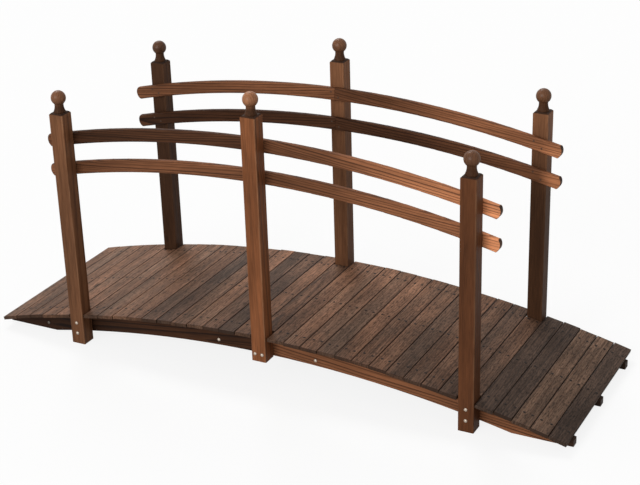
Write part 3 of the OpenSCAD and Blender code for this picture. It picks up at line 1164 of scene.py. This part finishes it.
# %% Model a bolt head and a nut
BOLT_RADIUS, BOLT_CORNERS = 0.0064, 20
BOLT_SKIRT = 0.0008
BOLT_DOME = 0.0036
DOME_STEPS = 4
DOME_END = math.radians(84)
WASHER_RADIUS, WASHER_RISE = 0.0090, 0.0016
NUT_RADIUS, NUT_RISE, NUT_CORNERS = 0.0075, 0.0062, 6
NUT_STEPS = ((0.85, 1.0), (0.15, 0.9))
THREAD_RADIUS, THREAD_RISE, THREAD_CORNERS = 0.0040, 0.0045, 12
THREAD_STEPS = ((0.8, 1.0), (0.2, 0.8))


def steps_of(rise, shares):
    """Steps of a head from shares of its height."""
    return [(rise * part, width) for part, width in shares]


dome_angles = [DOME_END * step / DOME_STEPS for step in range(DOME_STEPS + 1)]
dome = [(BOLT_SKIRT, 1.0)]
for before, after in zip(dome_angles, dome_angles[1:]):
    dome.append((BOLT_DOME * (math.sin(after) - math.sin(before)), math.cos(after) / math.cos(before)))
pattern_bolt = turn_head(BOLT_RADIUS, BOLT_CORNERS, dome)

washer = turn_head(WASHER_RADIUS, BOLT_CORNERS, [(WASHER_RISE, 1.0)])
nut = turn_head(NUT_RADIUS, NUT_CORNERS, steps_of(NUT_RISE, NUT_STEPS))
nut.location.z = WASHER_RISE
thread = turn_head(THREAD_RADIUS, THREAD_CORNERS, steps_of(THREAD_RISE, THREAD_STEPS))
thread.location.z = WASHER_RISE + NUT_RISE
pattern_nut = join_pieces([washer, nut, thread])
print("bolt head:", len(pattern_bolt.data.polygons), "faces, nut:", len(pattern_nut.data.polygons))

# %% [markdown]
# A bolt needs four numbers: how far along the bridge and how high its hole is, and the two faces that it
# clamps. The faces are read from the CAD boxes, so that every head and nut lies on its timber. The outer
# arches are bolted to their posts from outside, and all three arches to the boards at the crown.

# %% Bolt the frame together
SIDES = {"near": -1, "far": 1}
POST_BOLT_HEIGHTS = (0.042, 0.083)
CROWN_BOLT_OUT, CROWN_BOLT_HEIGHT = 0.0136, 0.1190
BOARD_BOLT_OUT, BOARD_BOLT_HEIGHT = 0.190, 0.110
TOE_BOLT_OUT, TOE_BOLT_HEIGHT = 0.931, 0.025


def face_of(name, way):
    """Where a node's face lies across the bridge, on the near side (-1) or the far side (1)."""
    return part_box(name)[way > 0][1]


def pointing(way):
    """The turn that points a head across the bridge."""
    return (-way * math.pi / 2, 0, 0)


def bolt_up(name, way, holes):
    """Heads on one face and nuts on the other; a hole is x, z, the head's face and the nut's."""
    heads = [copy_to(pattern_bolt, (x, head_y, z), pointing(way)) for x, z, head_y, nut_y in holes]
    nuts = [copy_to(pattern_nut, (x, nut_y, z), pointing(-way)) for x, z, head_y, nut_y in holes]
    fit(f"{name}_bolt_heads", heads, bolt_zinc)
    fit(f"{name}_bolt_nuts", nuts, bolt_zinc)


for side, way in SIDES.items():
    post = face_of(f"{side}_left_post", way)
    outside, inside = face_of(f"{side}_arch", way), face_of(f"{side}_arch", -way)
    board = face_of(f"{side}_joining_board", -way)
    holes = [(-TOE_BOLT_OUT, TOE_BOLT_HEIGHT, outside, inside)]
    for end in (-1, 1):
        holes += [(end * post_x, height, post, inside) for height in POST_BOLT_HEIGHTS]
        holes.append((end * CROWN_BOLT_OUT, CROWN_BOLT_HEIGHT, post, board))
        holes.append((end * BOARD_BOLT_OUT, BOARD_BOLT_HEIGHT, outside, board))
    bolt_up(side, way, holes)

outside, board = face_of("middle_arch", -1), face_of("middle_joining_board", 1)
holes = [(end * CROWN_BOLT_OUT, CROWN_BOLT_HEIGHT, outside, board) for end in (-1, 1)]
holes += [(end * BOARD_BOLT_OUT, BOARD_BOLT_HEIGHT, outside, board) for end in (-1, 1)]
bolt_up("middle", -1, holes)
bpy.data.objects.remove(pattern_bolt)
bpy.data.objects.remove(pattern_nut)

# %% [markdown]
# The rails are screwed to the posts from inside: two screws, set on a slant, at each end post, and one in
# each half at the middle post. A screw is countersunk, so its head lies flush with a low rim, and the
# socket for the driver is a face that is inset and pushed down.

# %% Rail screws
SCREW_RADIUS = 0.0034
SCREW_CORNERS = 12
SCREW_RIM, SCREW_TOP = 0.0004, 0.9
SIDE_CORNERS = 4
SOCKET_INSET = 0.0017
SOCKET_DEPTH = 0.0016
SCREW_OUT, SCREW_UP = 0.014, 0.009


def head_top(face):
    """Whether a face is the round top of a head and not one of its sides."""
    return face.center.z > SCREW_RIM / 2 and len(face.vertices) > SIDE_CORNERS


pattern_screw = turn_head(SCREW_RADIUS, SCREW_CORNERS, [(SCREW_RIM, SCREW_TOP)])
pick(pattern_screw, "FACE", head_top)
bpy.ops.mesh.inset(thickness=SOCKET_INSET)
bpy.ops.mesh.extrude_region_move(TRANSFORM_OT_translate={"value": (0, 0, -SOCKET_DEPTH)})
select_only(pattern_screw)

for side, way in SIDES.items():
    screws = []
    for level in ("upper", "lower"):
        rail = f"{side}_{level}_rail"
        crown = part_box(rail)[1][2] - RAIL_DEPTH / 2
        for middle in (-post_x, 0, post_x):
            for slant in (-1, 1):
                x = middle + slant * SCREW_OUT
                z = crown - rail_radius + math.sqrt(rail_radius ** 2 - x ** 2) - slant * SCREW_UP
                screws.append(copy_to(pattern_screw, (x, face_of(rail, -way), z), pointing(-way)))
    fit(f"{side}_rail_screws", screws, screw_brown)
bpy.data.objects.remove(pattern_screw)
